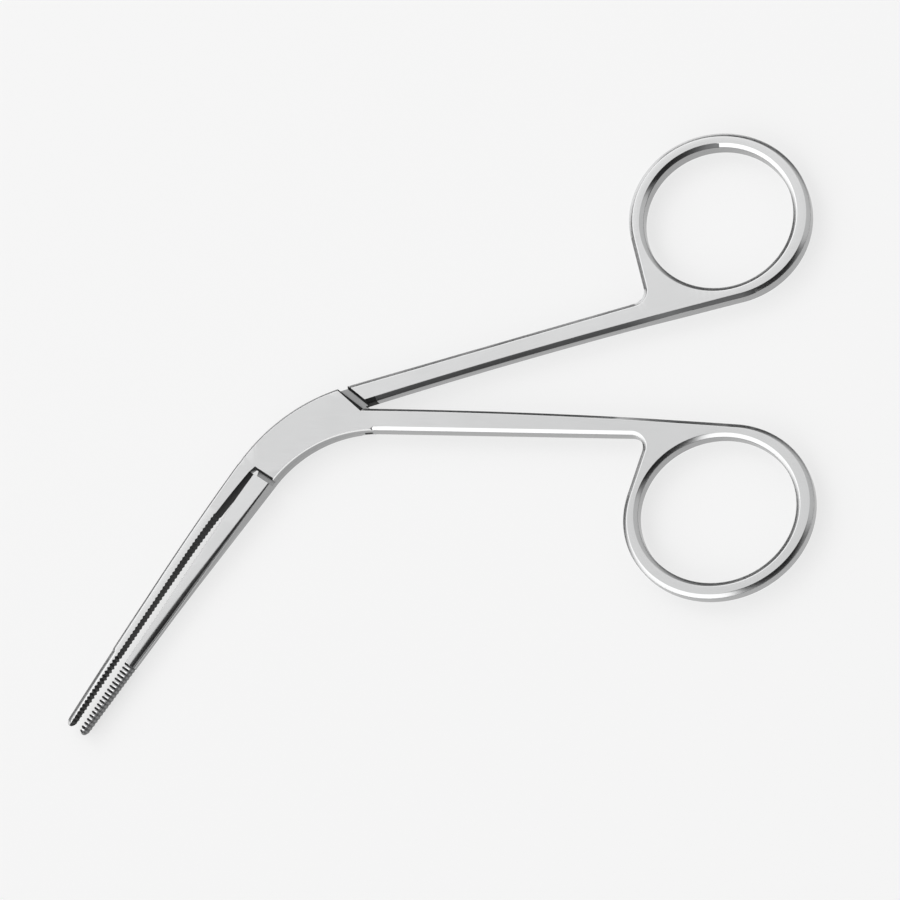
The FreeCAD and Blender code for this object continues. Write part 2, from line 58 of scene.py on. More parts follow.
# %% Sizes of the stock and of both handles
STOCK = 3.3
JOINT_GAP = 0.04
MIDDLE = STOCK / 2
BACK_BREAK = 0.36
HOLLOW_BREAK = 0.12
BLADE_BREAK = 0.3
OUTER_BEVEL = 0.6
BEVEL_RAMP = 0.7
RING_BEVEL = 0.65
SHANK_WIDTH = 3.36
WAIST_AT = 32.0
NECK_FILLET = 2.0

REAR = {
    "side": 1,
    "angle": 14.3,
    "outer": 5.1,
    "root_width": 3.68,
    "root_at": 10.6,
    "root_break": 0.0,
    "inner_bevel": 0.6,
    "inner_share": 1.78,
    "neck_share": 1.2,
    "bevel_from": 8.43,
    "neck_at": 58.1,
    "ring": {"along": 72.37, "across": 15.0, "turn": 23.0, "long": 14.4, "wide": 13.76},
    "eye": {"along": 72.14, "across": 14.97, "turn": 6.3, "long": 11.8, "wide": 11.5},
}
FRONT = {
    "side": -1,
    "angle": -2.9,
    "outer": -0.25,
    "root_width": 3.5,
    "root_at": 9.65,
    "root_break": 0.3,
    "inner_bevel": 0.45,
    "inner_share": 0.72,
    "neck_share": 1.0,
    "bevel_from": 11.0,
    "neck_at": 55.6,
    "ring": {"along": 67.4, "across": 11.45, "turn": 25.1, "long": 15.0, "wide": 13.5},
    "eye": {"along": 67.16, "across": 11.26, "turn": 20.1, "long": 12.3, "wide": 11.33},
}
print("handles open by", REAR["angle"] - FRONT["angle"], "degrees")

# %% Sizes of the elbow and the jaws
BACK_RADIUS = 30.0
HOLLOW_RADIUS = 20.0
SHOULDER_ANGLE = 50.9
FRONT_BLADE_REACH = 8.6
REAR_SHOULDER_REACH = 10.03
FRONT_BACK_SHOULDER = 11.2
REAR_BLADE_SWEEP = 11.0
SHOULDER_LEAN = 12.0
FRONT_NOTCH = (9.2, -3.2)
REAR_NOTCH = (8.4, -3.1)
JAW_ANGLE = 237.0
JAW_START = 10.0
JAW_END = 59.2
FRONT_BACK_START = 5.95
REAR_BACK_ROOT = 0.49
REAR_BACK_TIP = -2.03
SCREW_RADIUS = 1.3
HEAD_RADIUS = 2.2
HEAD_DEPTH = 0.95
BORE_GAP = 0.03
SCREW_COVER = 0.6
reach = math.hypot(REAR["ring"]["along"], REAR["ring"]["across"]) + REAR["ring"]["long"]
print("from the screw to the rear ring's end", round(reach), "mm, to the jaws' tips", round(JAW_END), "mm")

# %% [markdown]
# ## Drawing in the plan
# Seen from the front, every outline is made of straight lines, circular arcs and parts of an
# ellipse that touch one another. Points are written in a handle's own frame, along it and
# across it, because that is how the two halves are alike: one is drawn with side +1 and the
# other with side -1.

# %% Directions and frames


def direction(angle):
    return Vector((math.cos(math.radians(angle)), math.sin(math.radians(angle))))


def left_of(v):
    return Vector((-v.y, v.x))


JAW_WAY = direction(JAW_ANGLE)
JAW_LEFT = left_of(JAW_WAY)


def jaw_point(along, across):
    return JAW_WAY * along + JAW_LEFT * across


def out_way(half):
    return left_of(direction(half["angle"])) * half["side"]


def handle_point(half, along, across):
    return direction(half["angle"]) * along + out_way(half) * across


print("the jaws point at", JAW_ANGLE, "degrees and the rear handle at", REAR["angle"], "degrees")

# %% Where lines and circles meet


def crossing(p, u, q, v):
    """Where the line through p along u meets the line through q along v."""
    return p + u * ((q - p).cross(v) / u.cross(v))


def line_on_circle(p, u, centre, radius, towards):
    """Where a line meets a circle, on the side of the point towards."""
    foot = p + u * (centre - p).dot(u)
    reach = math.sqrt(radius**2 - (foot - centre).length_squared)
    return foot + u * math.copysign(reach, (towards - foot).dot(u))


def touching_circle(n1, offset1, n2, offset2, radius, sign):
    """Centre of a circle that touches two lines, given by their normals and offsets."""
    a, b = offset1 - sign * radius, offset2 - sign * radius
    return Vector((a * n2.y - b * n1.y, n1.x * b - n2.x * a)) / n1.cross(n2)


def blend(x, x0, x1, y0, y1):
    """Straight run from y0 at x0 to y1 at x1, level outside."""
    share = min(1.0, max(0.0, (x - x0) / (x1 - x0)))
    return y0 + (y1 - y0) * share


def circle_through(a, b, c):
    """Centre of the circle through three points."""
    mid1, mid2 = (a + b) / 2, (b + c) / 2
    return crossing(mid1, left_of(b - a), mid2, left_of(c - b))


example = circle_through(Vector((1, 0)), Vector((0, 1)), Vector((-1, 0)))
print("centre of a circle through three points:", example.to_tuple(1))

# %% Sampled lines, arcs and ovals


def sample_line(a, b, count):
    return [a.lerp(b, i / count) for i in range(count)]


def sample_arc(a, b, centre, count):
    """Points on the short arc from a to b, without the last one."""
    start = math.atan2(a.y - centre.y, a.x - centre.x)
    sweep = math.remainder(math.atan2(b.y - centre.y, b.x - centre.x) - start, math.tau)
    radius = (a - centre).length
    turns = [start + sweep * i / count for i in range(count)]
    return [centre + Vector((math.cos(t), math.sin(t))) * radius for t in turns]


def oval(half, part, inset):
    """Centre, major direction and half axes of a ring or its eye, drawn in or let out."""
    sizes = half[part]
    grow = -inset if part == "ring" else inset
    return (
        handle_point(half, sizes["along"], sizes["across"]),
        direction(half["angle"] - half["side"] * sizes["turn"]),
        sizes["long"] + grow,
        sizes["wide"] + grow,
    )


def oval_point(shape, turn):
    centre, major, long, wide = shape
    return centre + major * (long * math.cos(turn)) + left_of(major) * (wide * math.sin(turn))


def oval_turn(shape, point):
    centre, major, long, wide = shape
    q = point - centre
    return math.atan2(q.dot(left_of(major)) / wide, q.dot(major) / long)


def oval_tangent(shape, turn):
    _, major, long, wide = shape
    return (left_of(major) * (wide * math.cos(turn)) - major * (long * math.sin(turn))).normalized()


for half in (REAR, FRONT):
    print("finger eye:", round(2 * half["eye"]["long"], 1), "by", round(2 * half["eye"]["wide"], 1), "mm")

# %% [markdown]
# ## The ring and its shank
# On the real instrument the shank runs into the ring on its inner side as one long, very
# flat arc, and meets the ring on its outer side in a small rounded neck. Where the arc joins
# the ring the two have the same direction, so that place is searched for by halving.

# %% Where the neck and the long arc touch the ring


def touching_turn(point, ring, side):
    """Turn of the place where a line from the point touches an oval."""
    centre, major, long, wide = ring
    q = point - centre
    qx, qy = q.dot(major) / long, q.dot(left_of(major)) / wide
    return math.atan2(qy, qx) - side * math.acos(1 / math.hypot(qx, qy))


def arc_turn(half, ring, foot, waist):
    """Turn of the place where the arc from the foot over the waist runs into the ring."""
    side = half["side"]

    def miss(turn):
        # The arc arrives turned from its last chord by the angle that this chord fills at foot
        point = oval_point(ring, turn)
        seen = (waist - foot).angle_signed(point - foot)
        chord = point - waist
        arrives = chord.angle_signed(oval_tangent(ring, turn) * side) + seen
        return math.remainder(arrives, math.tau)

    inner_side = oval_turn(ring, ring[0] - out_way(half) * ring[3])
    low, high = inner_side - side * math.radians(60), inner_side + side * math.radians(40)
    low_sign = miss(low) > 0
    for _ in range(45):
        half_way = (low + high) / 2
        if (miss(half_way) > 0) == low_sign:
            low = half_way
        else:
            high = half_way
    return low


print("halving 45 times narrows 100 degrees to", 100 / 2**45, "degrees")

# %% Ring, neck and shank


def ring_and_shank(half, level):
    """Outline from the shank's outer side round the ring to the root on its inner side."""
    side, along, out = half["side"], direction(half["angle"]), out_way(half)
    outer_in, ring_in = level * OUTER_BEVEL, level * RING_BEVEL
    inner_in = level * half["inner_bevel"]
    shape, full = oval(half, "ring", ring_in), oval(half, "ring", 0.0)

    root = handle_point(half, half["neck_at"], half["outer"])
    neck = (oval_point(full, touching_turn(root, full, side)) - root).normalized()
    inward = left_of(neck) * -side
    corner = crossing(root + inward * ring_in, neck, root - out * outer_in, along)
    touch_turn = touching_turn(corner, shape, side)
    touch = oval_point(shape, touch_turn)
    neck = (touch - corner).normalized()
    fillet = NECK_FILLET + outer_in
    opening = math.acos(-along.dot(neck))
    setback = fillet / math.tan(opening / 2)
    middle = corner + (neck - along).normalized() * (fillet / math.sin(opening / 2))
    fillet_start, fillet_end = corner - along * setback, corner + neck * setback

    root_at = half["root_at"] - level * half["root_break"]
    foot = handle_point(half, root_at, half["outer"] - half["root_width"] + inner_in)
    waist = handle_point(half, WAIST_AT, half["outer"] - SHANK_WIDTH + inner_in)
    join_turn = arc_turn(half, shape, foot, waist)
    join = oval_point(shape, join_turn)
    sweep = (join_turn - touch_turn) % math.tau
    if side > 0:
        sweep -= math.tau
    ring_turns = [touch_turn + sweep * i / 230 for i in range(230)]
    return (
        fillet_start,
        sample_arc(fillet_start, fillet_end, middle, 12)
        + sample_line(fillet_end, touch, 4)
        + [oval_point(shape, t) for t in ring_turns]
        + sample_arc(join, foot, circle_through(foot, waist, join), 60),
        foot,
    )


print("points round a ring and its shank:", len(ring_and_shank(REAR, 0)[1]))

# %% [markdown]
# ## The elbow
# Two long curves run through the elbow: the back one, of large radius, from the rear handle
# into the front jaw, and the hollow one from the front handle into the rear jaw. Each circle
# is set to touch both of the straight sides it joins, so the bend has no kink.

# %% The two curves of the elbow
BACK_CENTRE = touching_circle(
    out_way(REAR), REAR["outer"] - 0.05, -JAW_LEFT, FRONT_BACK_START, BACK_RADIUS, 1
)
back_slope = math.atan2(REAR_BACK_TIP - REAR_BACK_ROOT, JAW_END - JAW_START)
rear_jaw_out = left_of(JAW_WAY * math.cos(back_slope) + JAW_LEFT * math.sin(back_slope))
HOLLOW_CENTRE = touching_circle(
    out_way(FRONT),
    FRONT["outer"],
    rear_jaw_out,
    jaw_point(JAW_START, REAR_BACK_ROOT).dot(rear_jaw_out),
    HOLLOW_RADIUS,
    -1,
)
print("elbow centres:", BACK_CENTRE.to_tuple(2), HOLLOW_CENTRE.to_tuple(2))


JAWS = {
    "front": {"root": -3.5, "straight": -4.63, "tip": -4.92, "bow_to": 28.0},
    "rear": {"root": -2.65, "straight": -2.92, "tip": -3.3, "bow_to": 22.0},
}


def grip(name, x):
    """Across place of the gripping face, bowed towards the elbow."""
    jaw = JAWS[name]
    y = jaw["straight"] + (jaw["tip"] - jaw["straight"]) * (x - JAW_START) / (JAW_END - JAW_START)
    if x < jaw["bow_to"]:
        y += (jaw["root"] - jaw["straight"]) * ((jaw["bow_to"] - x) / (jaw["bow_to"] - JAW_START)) ** 2
    return y


# %% Outlines of both halves at any level of the bevel


def shank_side(half, level, centre, radius):
    """From the end of an elbow curve over the start of the outer bevel to the neck."""
    along, out = direction(half["angle"]), out_way(half)
    lead = half["bevel_from"] - centre.dot(along)
    elbow_end = centre + along * lead + out * math.copysign(math.sqrt(radius**2 - lead**2), radius)
    edge = handle_point(half, 0, half["outer"] - level * OUTER_BEVEL)
    ramp_end = crossing(elbow_end + along * BEVEL_RAMP, out, edge, along)
    neck_start, ring_points, foot = ring_and_shank(half, level)
    points = sample_line(elbow_end, ramp_end, 2) + sample_line(ramp_end, neck_start, 20)
    return elbow_end, points + ring_points, foot


def rear_outline(level):
    back_r, hollow_r = BACK_RADIUS - level * BACK_BREAK, HOLLOW_RADIUS + level * HOLLOW_BREAK
    jaw_line = jaw_point(JAW_START, 0)
    jaw_outer = line_on_circle(jaw_line, JAW_LEFT, HOLLOW_CENTRE, hollow_r, jaw_point(JAW_START, 5))
    jaw_inner = jaw_point(JAW_START, grip("rear", JAW_START))
    notch = jaw_point(*REAR_NOTCH)
    blade = line_on_circle(notch, JAW_LEFT, BACK_CENTRE, back_r, notch - JAW_LEFT * 5)
    elbow_end, handle, foot = shank_side(REAR, level, BACK_CENTRE, back_r)
    end_line, end_way = handle_point(FRONT, REAR_BLADE_SWEEP - 0.01, 0), out_way(FRONT)
    end = line_on_circle(end_line, end_way, HOLLOW_CENTRE, hollow_r, end_line - end_way * 5)
    middle = (foot + end).normalized() * ((foot.length + end.length) / 2 + 0.06)
    return (
        sample_line(jaw_outer, jaw_inner, 6)
        + sample_line(jaw_inner, notch, 3)
        + sample_line(notch, blade, 5)
        + sample_arc(blade, elbow_end, BACK_CENTRE, 56)
        + handle
        + sample_arc(foot, end, circle_through(foot, middle, end), 8)
        + sample_arc(end, jaw_outer, HOLLOW_CENTRE, 48)
    )


def front_outline(level):
    back_r, hollow_r = BACK_RADIUS - level * BACK_BREAK, HOLLOW_RADIUS + level * HOLLOW_BREAK
    jaw_line = jaw_point(JAW_START, 0)
    jaw_outer = line_on_circle(jaw_line, JAW_LEFT, BACK_CENTRE, back_r, jaw_point(JAW_START, -5))
    jaw_inner = jaw_point(JAW_START, grip("front", JAW_START))
    notch = jaw_point(FRONT_NOTCH[0] - level * BLADE_BREAK, FRONT_NOTCH[1])
    blade = line_on_circle(notch, JAW_LEFT, HOLLOW_CENTRE, hollow_r, notch + JAW_LEFT * 5)
    elbow_end, handle, foot = shank_side(FRONT, level, HOLLOW_CENTRE, -hollow_r)
    shoulder = direction(SHOULDER_ANGLE)
    end_line, end_way = shoulder * (FRONT_BLADE_REACH - level * BLADE_BREAK * 0.6), left_of(shoulder)
    end = line_on_circle(end_line, end_way, BACK_CENTRE, back_r, end_line + end_way * 5)
    return (
        sample_line(jaw_outer, jaw_inner, 5)
        + sample_line(jaw_inner, notch, 3)
        + sample_line(notch, blade, 7)
        + sample_arc(blade, elbow_end, HOLLOW_CENTRE, 48)
        + handle
        + sample_line(foot, end, 8)
        + sample_arc(end, jaw_outer, BACK_CENTRE, 60)
    )


print("points in the outlines:", len(front_outline(0)), "and", len(rear_outline(0)))

# %% [markdown]
# ## From outlines to solid steel
# A forged and ground half has flat faces, a bevel that is softly rounded where it meets them,
# and upright sides. It could be extruded and bevelled, but the bevel is wide on the ring,
# narrow along the shank's inner side and almost nothing on the elbow. So the outline is drawn
# at several levels of the bevel, each on its own height, and neighbouring loops are bridged.

# %% Levels of the bevel, and its depth round the outline

ELBOW_SHARE = 0.52
HOLLOW_SHARE = 0.65
SHANK_FROM = 9.0

# Share of the bevel still to come, and depth under the face: soft, straight, soft again
SOFT_BEVEL = [
    (1.12, 0.0),
    (1.04, 0.005),
    (0.97, 0.02),
    (0.89, 0.055),
    (0.12, 0.36),
    (0.05, 0.405),
    (0.012, 0.46),
    (0.0, 0.55),
]
LEVELS = [(level, depth, 1) for level, depth in SOFT_BEVEL]
LEVELS += [(level, depth, -1) for level, depth in reversed(SOFT_BEVEL)]


def depth_share(half, p):
    """How deep the edge is cut at a place, against the bevel on the handle's outer side."""
    along, across = p.dot(direction(half["angle"])), p.dot(out_way(half))
    on_hollow = (p - HOLLOW_CENTRE).length < HOLLOW_RADIUS + 0.6
    elbow = HOLLOW_SHARE if on_hollow else ELBOW_SHARE
    if across > half["outer"] - SHANK_WIDTH / 2:
        if along > half["neck_at"] - 1:
            return blend(along, half["neck_at"] + 5, half["neck_at"] + 8, half["neck_share"], 1.0)
        return blend(along, half["bevel_from"], half["bevel_from"] + BEVEL_RAMP, elbow, 1.0)
    if along < SHANK_FROM:
        return elbow
    return blend(along, half["neck_at"] - 4, half["neck_at"] + 5, half["inner_share"], 1.0)


print("levels from the front face to the back face:", len(LEVELS))

# %% Loops, bridges and lids


def closed_loop(bm, places):
    """A closed loop of edges through places given in millimetres."""
    verts = [bm.verts.new((x * MM, y * MM, z * MM)) for x, y, z in places]
    return [bm.edges.new((a, b)) for a, b in zip(verts, verts[1:] + verts[:1])]


def level_loop(bm, points, depth, face, share):
    """The outline at a depth under the front face (+1) or over the back face (-1)."""
    return closed_loop(bm, [(p.x, p.y, MIDDLE + face * (MIDDLE - depth * share(p))) for p in points])


def bridge(bm, loops):
    for one, other in zip(loops, loops[1:]):
        bmesh.ops.bridge_loops(bm, edges=one + other)


def make_blank(half, outline):
    """Closed solid of ring, shank and elbow, with the finger eye through it."""
    bm = bmesh.new()
    outside = []
    for level, depth, face in LEVELS:
        outside.append(level_loop(bm, outline(level), depth, face, lambda p: depth_share(half, p)))
    inside = []
    turns = [math.tau * i / 220 for i in range(220)]
    for level, depth, face in LEVELS:
        shape = oval(half, "eye", level * RING_BEVEL)
        points = [oval_point(shape, t) for t in turns]
        inside.append(level_loop(bm, points, depth, face, lambda p: 1.0))
    bridge(bm, outside)
    bridge(bm, inside)
    for end in (0, -1):
        bmesh.ops.triangle_fill(bm, edges=outside[end] + inside[end], use_beauty=True)
    bmesh.ops.recalc_face_normals(bm, faces=bm.faces)
    return bm


def as_object(bm, name):
    mesh = bpy.data.meshes.new(name)
    bm.to_mesh(mesh)
    bm.free()
    made = bpy.data.objects.new(name, mesh)
    bpy.context.collection.objects.link(made)
    return made


front_frame = as_object(make_blank(FRONT, front_outline), "front_frame")
rear_frame = as_object(make_blank(REAR, rear_outline), "rear_frame")
print("frames:", len(front_frame.data.polygons), len(rear_frame.data.polygons), "faces")

# %% [markdown]
# ## Milling the lap
# At the elbow each half is milled down to half its thickness, so that the two cross in one
# plane. A milled recess is a plain block taken away, which a Boolean with a box does exactly,
# and the screw's bore and head recess are cylinders taken away in the same manner.

# %% Cutters and cuts


def block(name, point, way, low, high, lean=0.0):
    """A large box up to a line across the plan, its end wall upright or leaning out."""
    bm = bmesh.new()
    bmesh.ops.create_cube(bm, size=1.0)
    size = Matrix.Diagonal((60 * MM, 80 * MM, (high - low) * MM, 1))
    turn = Matrix.Rotation(math.atan2(way.y, way.x), 4, "Z")
    centre = (point - way * 30) * MM
    place = Matrix.Translation((centre.x, centre.y, (low + high) / 2 * MM))
    bmesh.ops.transform(bm, matrix=place @ turn @ size, verts=bm.verts)
    shift = way * ((high - low) * math.tan(math.radians(lean)) * MM)
    upper = [v for v in bm.verts if v.co.z > (low + high) / 2 * MM]
    bmesh.ops.translate(bm, verts=upper, vec=(shift.x, shift.y, 0))
    return as_object(bm, name)


def drill(name, radius, low, high):
    bm = bmesh.new()
    bmesh.ops.create_cone(
        bm,
        cap_ends=True,
        segments=96,
        radius1=radius * MM,
        radius2=radius * MM,
        depth=(high - low) * MM,
        matrix=Matrix.Translation((0, 0, (low + high) / 2 * MM)),
    )
    return as_object(bm, name)


def cut(target, cutters):
    """Take the cutters away, keep the result as the target's own mesh, and clear up."""
    for cutter in cutters:
        change = target.modifiers.new(cutter.name, "BOOLEAN")
        change.operation = "DIFFERENCE"
        change.solver = "EXACT"
        change.object = cutter
    graph = bpy.context.evaluated_depsgraph_get()
    result = bpy.data.meshes.new_from_object(target.evaluated_get(graph))
    target.modifiers.clear()
    target.data = result
    for cutter in cutters:
        bpy.data.objects.remove(cutter)
    print(target.name, "after milling:", len(result.polygons), "faces")


# %% [markdown]
# ## The finishes and the painted light of one forging
# A half is one piece of steel, but it doesn't shine alike all over. Its flats and bevels are
# satin, and the lap's floors are milled and painted a darker grey as shade in the recess.
# Walls, ends and teeth are painted almost black as shade. The edge along the elbow's hollow
# is a brighter steel as a painted highlight, and the bevel on the inner side of the rear shank
# is painted dark grey as shade, as the valleys of the ribs are.
# Each face names its finish by that steel's place in the half's list of materials.

# %% Choose a finish, painted shade or painted highlight for each face of the frames
# Steels in each half's list: all but the satin carry painted shade or a painted highlight
SATIN, MILLED_SHADED, BLACK_SHADE, BRIGHT_HIGHLIGHT, GREY_SHADE = range(5)
CROTCH_FROM = 9.5
CROTCH_TO = 12.2
GREY_SHADE_TO = 75.0


def mark_milled_and_shade(target, way, near, far):
    """The lap's floor is milled and painted grey as shade, and its shoulder is painted black as shade."""
    for face in target.data.polygons:
        height = abs(face.center.z / MM - MIDDLE)
        along = (face.center.x * way.x + face.center.y * way.y) / MM
        if abs(face.normal.z) > 0.99 and height < JOINT_GAP:
            face.material_index = MILLED_SHADED
        elif near < along < far and abs(face.normal.z) < 0.5 and face.normal.xy.dot(way) < -0.9:
            face.material_index = BLACK_SHADE


def mark_edges(target):
    """The lap's hollow edge gets a painted highlight, and its two ends are painted black as shade."""
    for face in target.data.polygons:
        place, normal = face.center.xy / MM, face.normal
        if face.center.z < MIDDLE * MM or abs(normal.z) > 0.985 or place.length > 13:
            continue
        level_way = normal.xy.normalized()
        at_end = level_way.dot(shoulder_way) > 0.95 and place.dot(shoulder_way) < FRONT_BLADE_REACH + 0.2
        at_jaw = level_way.dot(JAW_WAY) > 0.95 and place.dot(JAW_WAY) < FRONT_NOTCH[0] + 0.1
        on_hollow = abs((place - HOLLOW_CENTRE).length - HOLLOW_RADIUS) < 0.3
        if at_end or at_jaw:
            face.material_index = BLACK_SHADE
        elif on_hollow and face.center.z > (STOCK - 0.4) * MM:
            face.material_index = BRIGHT_HIGHLIGHT


def mark_crotch(target):
    """The rear shank's inner bevel is painted dark grey as shade, and its foot black as shade."""
    along_way, inner_way = direction(REAR["angle"]), -out_way(REAR)
    for face in target.data.polygons:
        if face.normal.xy.dot(inner_way) <= 0.4 or face.center.z <= 0.6 * MM:
            continue
        along = face.center.xy.dot(along_way) / MM
        if CROTCH_FROM < along < CROTCH_TO:
            face.material_index = BLACK_SHADE
        elif CROTCH_TO <= along < GREY_SHADE_TO and face.normal.z > 0.4:
            face.material_index = GREY_SHADE


def mark_notch(target):
    """The rear half's corner at the root of the jaws is painted black as shade too."""
    for face in target.data.polygons:
        x, across = face.center.xy.dot(JAW_WAY) / MM, face.center.xy.dot(JAW_LEFT) / MM
        if 8.0 < x < 10.3 and across < -2.2 and abs(face.normal.z) < 0.98:
            face.material_index = BLACK_SHADE


def finish_counts(target):
    used = [face.material_index for face in target.data.polygons]
    return [used.count(finish) for finish in (SATIN, MILLED_SHADED, BLACK_SHADE, BRIGHT_HIGHLIGHT, GREY_SHADE)]


print("satin faces before milling:", finish_counts(front_frame)[SATIN])

# %% Mill both frames
front_way, shoulder_way = direction(FRONT["angle"]), direction(SHOULDER_ANGLE)
front_floor, rear_floor = MIDDLE + JOINT_GAP / 2, MIDDLE - JOINT_GAP / 2
recess_foot = REAR_SHOULDER_REACH - (STOCK + JOINT_GAP) / 2 * math.tan(math.radians(SHOULDER_LEAN))
cut(
    front_frame,
    [
        block("front_recess", front_way * FRONT_BACK_SHOULDER, front_way, -1, front_floor),
        drill("screw_seat", SCREW_RADIUS + 0.01, -1, STOCK - SCREW_COVER + 0.02),
    ],
)
cut(
    rear_frame,
    [
        block("rear_recess", shoulder_way * recess_foot, shoulder_way, rear_floor, 5, SHOULDER_LEAN),
        drill("screw_bore", SCREW_RADIUS + BORE_GAP, -1, 3),
        drill("head_recess", HEAD_RADIUS + BORE_GAP, -1, HEAD_DEPTH + BORE_GAP),
    ],
)
mark_milled_and_shade(front_frame, front_way, FRONT_BACK_SHOULDER - 0.1, FRONT_BACK_SHOULDER + 0.1)
mark_edges(front_frame)
mark_crotch(rear_frame)
mark_notch(rear_frame)
mark_milled_and_shade(rear_frame, shoulder_way, recess_foot - 0.1, REAR_SHOULDER_REACH + 0.1)
print("faces of each finish:", finish_counts(front_frame), finish_counts(rear_frame))

# %% [markdown]
# ## The jaws
# Each jaw is a slim taper with flat faces, a rounded back and a flat gripping face that is
# cut into fine teeth across its whole depth. The rear jaw's end is ribbed all round as well.
# A texture would show no teeth against the light, so they are real: the section of the jaw is
# drawn at every quarter of a tooth, with its gripping side moved in at each valley.

# %% Jaw sizes along their length
TOOTH = 0.7
TOOTH_DEPTHS = {"front": (0.18, 0.3), "rear": (0.18, 0.42)}
TEETH_FROM = 18.5
RIBS_FROM = 46.0
RIB_DEPTH = 0.1
TIP_ROUND = 1.1
JAW_THIN_TO = 36.0
TIP_THICKNESS = 2.2
FRONT_BOW_TO = 30.0
FRONT_BACK = -6.42
FRONT_BACK_TAPER = 0.47


def root_place(centre, radius, towards):
    """Across place of an elbow curve where the jaw starts."""
    start = jaw_point(JAW_START, 0)
    return line_on_circle(start, JAW_LEFT, centre, radius, jaw_point(JAW_START, towards)).dot(JAW_LEFT)


FRONT_ROOT = root_place(BACK_CENTRE, BACK_RADIUS, -5)
REAR_ROOT = root_place(HOLLOW_CENTRE, HOLLOW_RADIUS, 5)
print("backs of the jaws at their root:", round(FRONT_ROOT, 2), "and", round(REAR_ROOT, 2))

# %% How thickness, backs, bevels and teeth change along a jaw


def tooth_wave(x, shift):
    """0 on a tooth's crest and 1 in a valley."""
    phase = ((x - TEETH_FROM) / TOOTH + shift) % 1.0
    return 1 - abs(2 * phase - 1)


def jaw_thickness(x):
    return blend(x, JAW_START, JAW_THIN_TO, STOCK, TIP_THICKNESS)


def bevel_depth(x):
    return min(blend(x, JAW_START, 30.0, 0.28, 1.07), 0.485 * jaw_thickness(x))


def front_back(x):
    """Across place of the front jaw's back: a bow out of the elbow, then a slight taper."""
    if x < FRONT_BOW_TO:
        left = (FRONT_BOW_TO - x) / (FRONT_BOW_TO - JAW_START)
        return FRONT_BACK + (FRONT_ROOT - FRONT_BACK) * left**2
    return FRONT_BACK + FRONT_BACK_TAPER * ((x - FRONT_BOW_TO) / (JAW_END - FRONT_BOW_TO)) ** 2


def rear_back(x):
    return blend(x, JAW_START, JAW_END, REAR_ROOT, REAR_BACK_TIP)


def front_bevel(x):
    """Width of the bevel, which grows slowly and opens at the start of the ribbed end."""
    if x < 45.2:
        return blend(x, JAW_START, 44.6, BACK_BREAK, 0.56)
    return blend(x, 45.2, 45.7, 0.56, 0.9)


def rear_bevel(x):
    """Width of the rear jaw's rounded back, widest in the middle of the jaw."""
    if x < 36.0:
        return blend(x, JAW_START, 36.0, 0.4, 1.55)
    return blend(x, 40.0, JAW_END, 1.55, 0.9)


print("jaw thickness at its root and its tip:", jaw_thickness(JAW_START), jaw_thickness(JAW_END))

# %% One section of a jaw

# Share of the bevel's width and depth along its rounded back, from the flat face outwards
EVEN_BACK = [
    (1.06, 0.0),
    (0.97, 0.02),
    (0.9, 0.06),
    (0.5, 0.47),
    (0.12, 0.86),
    (0.06, 0.92),
    (0.02, 1.0),
    (0.0, 1.1),
]
ROUND_BACK = [
    (1 - math.sin(turn), 1 - math.cos(turn))
    for turn in map(math.radians, (4, 15, 26, 37, 48, 60, 72, 87))
]
GRIP_EDGE = 0.03


def jaw_section(x, inner, outer, bevel, deep, profile, sunk):
    """Across and up places of one section, from the gripping face round the back."""
    side = 1 if outer > inner else -1
    top = jaw_thickness(x) / 2 - sunk
    outer -= side * sunk
    upper = [(inner, top - GRIP_EDGE), (inner + side * GRIP_EDGE, top)]
    upper += [(outer - side * bevel * wide, top - deep * depth) for wide, depth in profile]
    return upper + [(y, -z) for y, z in reversed(upper)]


def jaw_stops():
    """Places of the sections, each with the share of the section that the rounded tip leaves."""
    last, quarter = JAW_END - TIP_ROUND, TOOTH / 4
    stops = [JAW_START + 0.5 * i for i in range(17)]
    stops += [TEETH_FROM + quarter * i for i in range(int((last - TEETH_FROM) / quarter) + 1)]
    tip = [math.radians(degrees) for degrees in (12, 24, 36, 48, 58, 67, 75, 82)]
    return [(x, 1.0) for x in stops] + [(last + TIP_ROUND * math.sin(t), math.cos(t)) for t in tip]


print("sections in a jaw:", len(jaw_stops()))

# %% Bridge the sections to a jaw and choose its finishes and painted shade


def mark_jaw(bm, name, back, ribbed):
    """The gripping face and the ribs' valleys are painted dark as shade; the ribs' crests on the sides are
    milled grey with painted shade.
    """
    across = Vector((JAW_LEFT.x, JAW_LEFT.y, 0)) * (-1 if back(JAW_END) > grip(name, JAW_END) else 1)
    for face in bm.faces:
        x = (face.calc_center_median() / MM).xy.dot(JAW_WAY)
        if face.normal.dot(across) > 0.55:
            face.material_index = BLACK_SHADE
        elif ribbed and x > RIBS_FROM:
            on_flat, in_valley = face.normal.z > 0.8, tooth_wave(x, 0.0) > 0.5
            finishes = (BLACK_SHADE, SATIN) if on_flat else (GREY_SHADE, MILLED_SHADED)
            face.material_index = finishes[0 if in_valley else 1]


